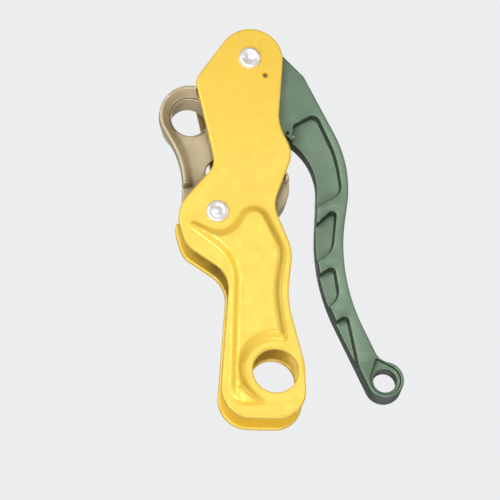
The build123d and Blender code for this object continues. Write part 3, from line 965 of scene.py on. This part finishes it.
@dataclass
class BollardGroup:
    """Cheek with its rim, and the bollards that the rope runs round.

    Attributes:
        rim: Width of the rim's front edge.
        lean: How far the rim's inner face leans in.
        rim_front: Depth of the rim's front edge.
        rim_end: Height at which the rim stops.
        seat_r: Radius of the ring bollard's seat.
        bore_r: Radius of the ring bollard's bore.
        web_r: Radius of the lightening hole in the web.
        foot_r: Radius of the lower bollard's foot.
        room: Gap between the lobe and the lower bollard once the rope lies between them.
        bend: Half the height over which the rim comes to its end.
    """

    rim: float = 1.4
    lean: float = 3.6
    rim_front: float = -10.8
    rim_end: float = 90.6
    seat_r: float = 12.0
    bore_r: float = 8.3
    web_r: float = 6.5
    foot_r: float = 7.2
    room: float = 1.0
    bend: float = 0.6

    def __post_init__(self) -> None:
        """Lays out the lines of the cheek."""
        self.outline = Loop.belt(CHEEK_PULLEYS)
        self.cover = Loop.belt([(x, z, r + 0.6) for x, z, r in PLATE_PULLEYS])
        self.mouth_r = RING_R - self.rim - self.lean

    def front(self, where: np.ndarray) -> np.ndarray:
        """Front face of the cheek.

        Args:
            where: Points as rows of x and z.

        Returns:
            One depth in Y for each point.
        """
        depth, foot, rise = self.outline.depth(where), self.rim + self.lean, GROUND - self.rim_front
        knots = [0.0, self.rim - 0.25, self.rim, self.rim + 0.3, foot - 0.7, foot, foot + 0.8]
        levels = [self.rim_front, self.rim_front, self.rim_front + 0.08, self.rim_front + 0.5,
                  GROUND - 0.14 * rise, GROUND - 0.03 * rise, GROUND]
        shown = np.interp(depth, knots, levels)
        full = smooth(where[:, 1], self.rim_end - self.bend, self.rim_end + self.bend)
        shown = GROUND + (shown - GROUND) * full
        covered = smooth(self.cover.depth(where), -0.08, 0.08)
        return shown * (1 - covered) + FRONT_IN * covered

    def back(self, where: np.ndarray) -> np.ndarray:
        """Back face of the cheek, with the step that seats the ring bollard."""
        return np.where(distance(where, RING) < self.seat_r, GROUND + 0.02, CHEEK_BACK)

    def cheek(self) -> bpy.types.Object:
        """The cheek.

        Returns:
            The finished object.
        """
        holes = (Loop.circle(RING, self.mouth_r), Loop.circle(ANCHOR, SLEEVE_R),
                 Loop.circle(WEB_HOLE, self.web_r))
        left, right, low, high = -60.0, 20.0, self.rim_end, self.rim_end + 60
        upper = Loop([(left, low), (right, low), (right, high), (left, high)])
        rim, foot = self.rim, self.rim + self.lean
        rails = (
            (self.outline, (rim - 0.25, rim, rim + 0.3, 2.6, 3.5, foot - 0.7, foot, foot + 0.8)),
            (self.cover, (-0.4, -0.08, 0.08, 0.4)),
            (upper, (-self.bend, -0.3, 0.0, 0.3, self.bend)),
            (Loop.circle(RING, self.seat_r), (-0.03, 0.03)),
        )
        return Relief("bollard_cheek_plate", self.outline, self.front, self.back, holes, rails, 0.55).build()

    def ring(self) -> bpy.types.Object:
        """Hollow bollard seated in the cheek, with a rounded mouth and a lip at its back.

        Returns:
            The finished object.
        """
        bore, seat = self.bore_r, self.seat_r - 0.02
        mouth = [(self.mouth_r - 0.05, GROUND), (bore + 0.62, GROUND + 0.18), (bore + 0.3, GROUND + 0.75),
                 (bore + 0.1, GROUND + 1.4), (bore, GROUND + 2.2), (bore, CORE_BACK - 0.5),
                 (bore + 0.5, CORE_BACK)]
        lip = [(11.9, CORE_BACK), (12.2, CORE_BACK - 0.3), (12.2, CORE_BACK - 1.2), (11.9, CORE_BACK - 1.5),
               (10.9, CORE_BACK - 2.1), (10.4, CORE_BACK - 2.7), (10.2, CORE_BACK - 3.5)]
        neck = [(10.2, CHEEK_BACK + 2.0), (10.35, CHEEK_BACK + 1.1), (10.8, CHEEK_BACK + 0.45),
                (seat, CHEEK_BACK), (seat, GROUND + 0.04)]
        return lathe("ring_bollard_turned", RING, mouth + lip + neck, ring=True, count=128)

    def lobe(self) -> bpy.types.Object:
        """Full-depth bollard that the handle squeezes the rope against.

        Returns:
            The finished object.
        """
        reach = LOWER_R + ROPE + self.room
        circle = Loop.circle(LOBE, LOBE_R, 0.4).points
        outer = circle[distance(circle, ANCHOR) > reach + 0.8]
        cut = next(i for i in range(len(outer)) if math.dist(outer[i], outer[(i + 1) % len(outer)]) > 2)
        outer = np.roll(outer, -cut - 1, axis=0)
        last, first = bearing(ANCHOR, outer[-1]), bearing(ANCHOR, outer[0])
        span = (first - last + math.pi) % math.tau - math.pi
        inner = [spoke(ANCHOR, reach, last + span * t) for t in np.linspace(0.06, 0.94, 40)]
        line = Loop(outer.tolist() + inner)
        return Relief("lobe_bollard_block", line, lambda w: np.full(len(w), CHEEK_BACK),
                      lambda w: np.full(len(w), CORE_BACK), (), (), 0.6).build()

    def lower(self) -> bpy.types.Object:
        """Small round bollard on the lower axle."""
        profile = [(SLEEVE_R, CHEEK_BACK), (self.foot_r, CHEEK_BACK), (self.foot_r - 0.5, CHEEK_BACK + 0.6),
                   (LOWER_R, CHEEK_BACK + 1.6), (LOWER_R, CORE_BACK - 0.5), (LOWER_R - 0.5, CORE_BACK),
                   (SLEEVE_R, CORE_BACK)]
        return lathe("lower_bollard_turned", ANCHOR, profile, ring=True)

    def build(self, dresser: Dresser) -> None:
        """Makes and dresses the group.

        Args:
            dresser: What gives the pieces their finish.
        """
        alloy = (ALLOY, "bollard_alloy", "fixed_side")
        dresser.dress(self.cheek(), *alloy, "bollard_cheek")
        dresser.dress(self.ring(), *alloy, "ring_bollard")
        dresser.dress(self.lobe(), *alloy, "lobe_bollard")
        dresser.dress(self.lower(), *alloy, "lower_bollard")
        dresser.carry("lobe_rivets", RIVET)


@dataclass
class Fasteners:
    """Axles, rivets, washers and the bush.

    Attributes:
        head_r: Radius of a rivet's head.
        head: Height of the upper axle's head.
        brim: Height of the lower rivet's head.
        spring_washer: Room for the spring washer behind the rear plate.
        collar: Length of the collar behind the spring washer.
        hook: Height of the hook head.
        pin: How far the lower axle's pin stands out behind the rear plate.
        bush: Outer radius of the hub's bush.
        thrust: Thickness of a thrust washer.
    """

    head_r: float = 5.2
    head: float = 2.0
    brim: float = 1.6
    spring_washer: float = 0.8
    collar: float = 2.2
    hook: float = 2.2
    pin: float = 2.5
    bush: float = 5.58
    thrust: float = 1.4

    def upper_axle(self) -> bpy.types.Object:
        """Upper axle, riveted over the front plate, with a rounded and dished head.

        Returns:
            The finished object.
        """
        top = FRONT_OUT - self.head
        end = REAR_SEAT + self.spring_washer + self.collar + 0.2
        dish = [(0.4, FRONT_OUT - 0.75), (1.7, FRONT_OUT - 0.85), (2.6, FRONT_OUT - 1.15), (3.1, top + 0.35)]
        crown = [(3.45, top + 0.08), (3.8, top), (4.3, top + 0.18), (4.75, top + 0.55), (5.05, top + 1.1),
                 (self.head_r, top + 1.6), (self.head_r, FRONT_OUT)]
        shank = [(AXLE_R, FRONT_OUT), (AXLE_R, end - 0.5), (AXLE_R - 0.5, end)]
        return lathe("upper_axle_turned", PIVOT, dish + crown + shank)

    def sleeve(self) -> bpy.types.Object:
        """Flanged tube of the lower rivet.

        Returns:
            The finished object.
        """
        top = FRONT_OUT - self.brim
        crown = [(SLEEVE_BORE_R, top + 1.4), (3.45, top + 1.2), (3.7, top + 0.3), (3.95, top),
                 (4.5, top + 0.05), (4.95, top + 0.4), (self.head_r, top + 1.0), (self.head_r, FRONT_OUT)]
        tube = [(SLEEVE_R, FRONT_OUT), (SLEEVE_R, REAR_SEAT), (SLEEVE_BORE_R, REAR_SEAT)]
        return lathe("lower_rivet_sleeve", ANCHOR, crown + tube, ring=True)

    def lower_axle(self) -> bpy.types.Object:
        """Pin inside the tubular rivet, with a small domed end.

        Returns:
            The finished object.
        """
        start, end, radius = FRONT_OUT - 0.4, REAR_OUT + self.pin, SLEEVE_BORE_R - 0.02
        dome = [(0.3, start - 0.8), (1.2, start - 0.72), (2.0, start - 0.5), (2.6, start - 0.22)]
        shank = [(radius, start), (radius, end - 0.2), (2.8, end)]
        return lathe("lower_axle_pin", ANCHOR, dome + shank)

    def washer(self, name: str, centre: Place, radii: tuple[float, float], start: float, end: float,
               rounding: float) -> bpy.types.Object:
        """Flat ring with rounded edges.

        Args:
            name: Name of the piece.
            centre: Axis of the ring.
            radii: Radius of its hole and of its outside.
            start: Depth of its front face.
            end: Depth of its back face.
            rounding: Width of the rounding.

        Returns:
            The finished object.
        """
        bore, outer = radii
        profile = [(bore, start), (outer, start), (outer, end), (bore, end)]
        return lathe(name, centre, profile, ring=True, rounding=rounding)

    def build(self, dresser: Dresser) -> None:
        """Makes and dresses the fasteners.

        Args:
            dresser: What gives the pieces their finish.
        """
        steel = (RIVET, "rivet_steel", "fixed_side")
        dresser.dress(self.upper_axle(), *steel, "upper_axle")
        dresser.dress(self.sleeve(), *steel, "lower_sleeve")
        dresser.dress(self.lower_axle(), *steel, "lower_axle")
        seat, stop = REAR_SEAT, REAR_SEAT + self.spring_washer
        hook = self.washer("hook_head_ring", ANCHOR, (SLEEVE_BORE_R, 7.2), seat, seat + self.hook, 0.6)
        dresser.dress(hook, *steel, "hook_head")
        collar = self.washer("axle_collar_ring", PIVOT, (AXLE_R, 5.8), stop, stop + self.collar, 0.5)
        dresser.dress(collar, *steel, "axle_collar")
        spring = self.washer("rear_spring_washer", PIVOT, (AXLE_BORE_R, 8.0), seat, stop - 0.1, 0.15)
        dresser.dress(spring, SPRING, "spring_steel", "fixed_side", "rear_washer")
        ring_radii, bush_radii = (AXLE_BORE_R, 6.8), (AXLE_BORE_R, self.bush)
        for name, inner in (("front", FRONT_IN), ("rear", HANDLE_SIDE)):
            start = inner + 0.05
            ring = self.washer(f"{name}_thrust_ring", PIVOT, ring_radii, start, start + self.thrust, 0.2)
            dresser.dress(ring, BRONZE, "bronze", "fixed_side", f"thrust_washer_{name}")
        bush = self.washer("pivot_bush_ring", PIVOT, bush_radii, -HANDLE_SIDE, HANDLE_SIDE, 0.2)
        dresser.dress(bush, BRONZE, "bronze", "brake_handle", "pivot_bush")
        dresser.carry("handle_spring", SPRING)


@dataclass
class Handle:
    """Brake handle with its pockets, ribs, hub and key ring end.

    Attributes:
        pocket: Depth of the pockets.
        dish: Depth of the dish round the key ring hole.
        hole_r: Radius of the key ring hole.
        bush_r: Radius of the hub's bore.
        groove: Inner and outer radius of the spring's groove.
        floor: Depth of the spring's groove.
        shoe: Thickness, depth and length of the brake shoe.
        WALL: Distances inside a recess's line at which its wall has a point.
        SHARE: Share of the recess's depth at each.
    """

    pocket: float = 4.6
    dish: float = 2.2
    hole_r: float = 5.3
    bush_r: float = 5.6
    groove: tuple[float, float] = (COIL_R - 1.9, COIL_R + 1.1)
    floor: float = 6.4
    shoe: tuple[float, float, float] = (3.0, 8.0, 12.0)

    WALL = (-0.5, -0.25, 0.0, 0.3, 0.55, 1.1)
    SHARE = (0.0, 0.025, 0.11, 0.86, 0.965, 1.0)

    def __post_init__(self) -> None:
        """Lays out the lines of the handle."""
        self.outline = Loop.belt(HANDLE_PULLEYS)
        self.pockets = [Loop.belt(line, 0.4) for line in POCKET_PULLEYS]
        self.key_dish = Loop.belt(KEY_DISH, 0.4)

    def sunk(self, where: np.ndarray, lines: list[Loop], depth: float) -> np.ndarray:
        """How deep the recesses inside some lines are.

        Args:
            where: Points as rows of x and z.
            lines: Line of each recess.
            depth: Its full depth.

        Returns:
            One depth for each point.
        """
        deep = np.zeros(len(where))
        for line in lines:
            deep = np.maximum(deep, depth * np.interp(line.depth(where), self.WALL, self.SHARE))
        return deep

    def front(self, where: np.ndarray) -> np.ndarray:
        """Front face, with the pockets, the dish and the spring's groove in the hub.

        Args:
            where: Points as rows of x and z.

        Returns:
            One depth in Y for each point.
        """
        low, high = self.groove
        radius, walls = distance(where, PIVOT), [low, low + 0.1, high - 0.1, high]
        groove = self.floor * np.interp(radius, walls, [0, 1, 1, 0])
        pockets = self.sunk(where, self.pockets, self.pocket)
        dish = self.sunk(where, [self.key_dish], self.dish)
        return groove + np.maximum(pockets, dish) - HANDLE_SIDE

    def back(self, where: np.ndarray) -> np.ndarray:
        """Back face, with the dish only."""
        return HANDLE_SIDE - self.sunk(where, [self.key_dish], self.dish)

    def notch(self, piece: bpy.types.Object) -> None:
        """Cuts the seat of the brake shoe out of the handle's nose.

        Args:
            piece: The handle.
        """
        nose, face = HANDLE_PULLEYS[1], HANDLE_PULLEYS[2]
        angle = heading(nose, face)
        ends = around(nose, angle), around(face, angle)
        middle = [(p + q) / 2 * MM for p, q in zip(*ends)]
        only(piece)
        bpy.ops.object.select_all(action="DESELECT")
        bpy.ops.mesh.primitive_cube_add(size=1, location=(middle[0], 0, middle[1]), rotation=(0, -angle, 0))
        cutter, (thick, deep, long) = bpy.context.object, self.shoe
        cutter.scale = (long * MM, deep * MM, 2 * thick * MM)
        bpy.ops.object.transform_apply(location=True, rotation=True, scale=True)
        only(piece)
        cut = piece.modifiers.new("seat", "BOOLEAN")
        cut.object, cut.operation, cut.solver = cutter, "DIFFERENCE", "EXACT"
        bpy.ops.object.modifier_apply(modifier=cut.name)
        bpy.data.objects.remove(cutter)

    def build(self, dresser: Dresser) -> None:
        """Makes and dresses the handle.

        Args:
            dresser: What gives the pieces their finish.
        """
        (low, high), hub_r = self.groove, 10.0
        rails = [(line, self.WALL) for line in (*self.pockets, self.key_dish)]
        radii = (low - 0.2, low, low + 0.1, high - 0.1, high, high + 0.2)
        rails.append((Loop.circle(PIVOT, hub_r), tuple(hub_r - r for r in radii)))
        holes = (Loop.circle(KEY_RING, self.hole_r), Loop.circle(PIVOT, self.bush_r))
        faces = self.front, self.back
        piece = Relief("brake_handle_casting", self.outline, *faces, holes, tuple(rails), 0.8).build()
        self.notch(piece)
        shade(piece)
        dresser.dress(piece, GREEN, "green_handle", "brake_handle", "handle")
        dresser.carry("brake_shoe", SHOE)
        dresser.carry("shoe_pins", SPRING)


@dataclass(frozen=True)
class Lamp:
    """Square area light that shines on the middle of the device. Its place and size are in metres.

    Attributes:
        name: Name of the light.
        place: Where it stands.
        size: Length of its side.
        power: Power in watts.
        colour: Colour of its light.
        MIDDLE: Middle of the device.
    """

    name: str
    place: Triple
    size: float
    power: float
    colour: Colour = (1, 1, 1)

    MIDDLE = (0.0, 0.0, 0.07)

    def build(self) -> None:
        """Adds the light to the scene."""
        data = bpy.data.lights.new(self.name, "AREA")
        data.size, data.energy, data.color = self.size, self.power, self.colour
        lamp = bpy.data.objects.new(self.name, data)
        lamp.location = self.place
        lamp.rotation_mode = "QUATERNION"
        lamp.rotation_quaternion = (Vector(self.MIDDLE) - Vector(self.place)).to_track_quat("-Z", "Y")
        bpy.context.scene.collection.objects.link(lamp)


LAMPS: list[Lamp] = [
    Lamp("key", (-0.40, -1.15, 0.42), 0.45, 2.8, (1.0, 0.98, 0.95)),
    Lamp("front", (0.08, -0.90, 0.28), 0.25, 0.5),
    Lamp("low", (-0.60, -0.77, -0.33), 0.24, 3.4),
    Lamp("under", (-0.02, -0.80, -0.62), 0.30, 1.6),
    Lamp("left", (-1.0, -0.72, 0.30), 0.7, 3.0),
    Lamp("side", (1.1, -0.50, 0.35), 0.6, 1.8, (0.95, 0.97, 1.0)),
    Lamp("rear", (0.3, 1.2, 0.8), 0.8, 5.0),
]


@dataclass
class Studio:
    """Camera, soft lights, pale floor and surround.

    Attributes:
        azimuth: Direction of the camera, 0 looking along +Y.
        elevation: Height of the camera above the horizon.
        lean: Turn of the camera about its own axis.
        lens: Focal length.
        sensor: Width of the sensor.
        field: Width of the view at the device.
        aim: Centre of the view, right and up of the front of the eye.
        sky: Strength of the surround's light from below and from above.
        shown: Strength of the surround where the camera sees it.
        floor: Height of the floor in metres.
        glow: Light that the floor gives by itself, which keeps it pale.
    """

    azimuth: float = -6.5
    elevation: float = -17.0
    lean: float = -4.81
    lens: float = 400.0
    sensor: float = 36.0
    field: float = 226.53
    aim: tuple[float, float] = (-11.78, 54.37)
    sky: tuple[float, float] = (0.10, 0.40)
    shown: float = 0.86
    floor: float = -0.85
    glow: float = 0.45

    def camera(self) -> None:
        """Sets up the camera."""
        a, e, roll = (math.radians(v) for v in (self.azimuth, self.elevation, self.lean))
        back = Vector((math.sin(a) * math.cos(e), -math.cos(a) * math.cos(e), math.sin(e)))
        level = Vector((math.cos(a), math.sin(a), 0))
        right = level * math.cos(roll) + back.cross(level) * math.sin(roll)
        up = back.cross(right)
        data = bpy.data.cameras.new("camera")
        data.lens, data.sensor_width = self.lens, self.sensor
        data.clip_start, data.clip_end = 0.05, 50.0
        camera = bpy.data.objects.new("camera", data)
        target = Vector((0, FRONT_OUT, 0)) + right * self.aim[0] + up * self.aim[1]
        place = (target + back * self.field * self.lens / self.sensor) * MM
        turn = Matrix((right, up, back)).transposed()
        camera.matrix_world = Matrix.Translation(place) @ turn.to_4x4()
        bpy.context.scene.collection.objects.link(camera)
        bpy.context.scene.camera = camera

    def surround(self) -> None:
        """Surround that shows plain and pale, and lights the device softly, less from below."""
        world = bpy.data.worlds.new("surround")
        world.use_nodes = True
        nodes, links = world.node_tree.nodes, world.node_tree.links
        background = nodes["Background"]
        height = nodes.new("ShaderNodeSeparateXYZ")
        links.new(nodes.new("ShaderNodeTexCoord").outputs["Generated"], height.inputs[0])
        sky = nodes.new("ShaderNodeMapRange")
        links.new(height.outputs["Z"], sky.inputs["Value"])
        for name, value in zip(("From Min", "From Max", "To Min", "To Max"), (-0.6, 0.9, *self.sky)):
            sky.inputs[name].default_value = value
        shown = nodes.new("ShaderNodeMix")
        links.new(nodes.new("ShaderNodeLightPath").outputs["Is Camera Ray"], shown.inputs["Factor"])
        links.new(sky.outputs[0], shown.inputs[2])
        shown.inputs[3].default_value = self.shown
        background.inputs["Color"].default_value = (0.98, 0.99, 1.0, 1)
        links.new(shown.outputs[0], background.inputs["Strength"])
        bpy.context.scene.world = world

    def paper(self) -> None:
        """Lays the floor, a wide sheet of pale paper."""
        bpy.ops.object.select_all(action="DESELECT")
        bpy.ops.mesh.primitive_plane_add(size=6.0, location=(0, 0, self.floor))
        floor = bpy.context.object
        floor.name = "floor"
        paper = Nodes("pale_paper")
        pale = paper.mix(paper.noise(60.0), (0.80, 0.80, 0.79), (0.76, 0.76, 0.76))
        paper.shade(Base_Color=pale, Roughness=0.8, Emission_Color=pale, Emission_Strength=self.glow)
        floor.data.materials.append(paper.material)

    def build(self) -> None:
        """Sets up the whole studio."""
        self.camera()
        for lamp in LAMPS:
            lamp.build()
        self.surround()
        self.paper()
        bpy.context.scene.view_settings.view_transform = "Standard"


def main() -> None:
    """Builds the sub-assemblies in order, then the studio."""
    logging.basicConfig(level=logging.INFO, format="%(name)s %(message)s")
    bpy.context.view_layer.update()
    dresser = Dresser()
    front = SidePlate(Side.FRONT).build("front_side_plate")
    dresser.dress(front, YELLOW, "yellow_plate", "fixed_side", "front_plate")
    rear = SidePlate(Side.REAR).build("rear_side_plate")
    dresser.dress(rear, YELLOW, "yellow_plate", "rear_side", "rear_plate")
    BollardGroup().build(dresser)
    Fasteners().build(dresser)
    Handle().build(dresser)
    Studio().build()


if __name__ == "__main__":
    main()
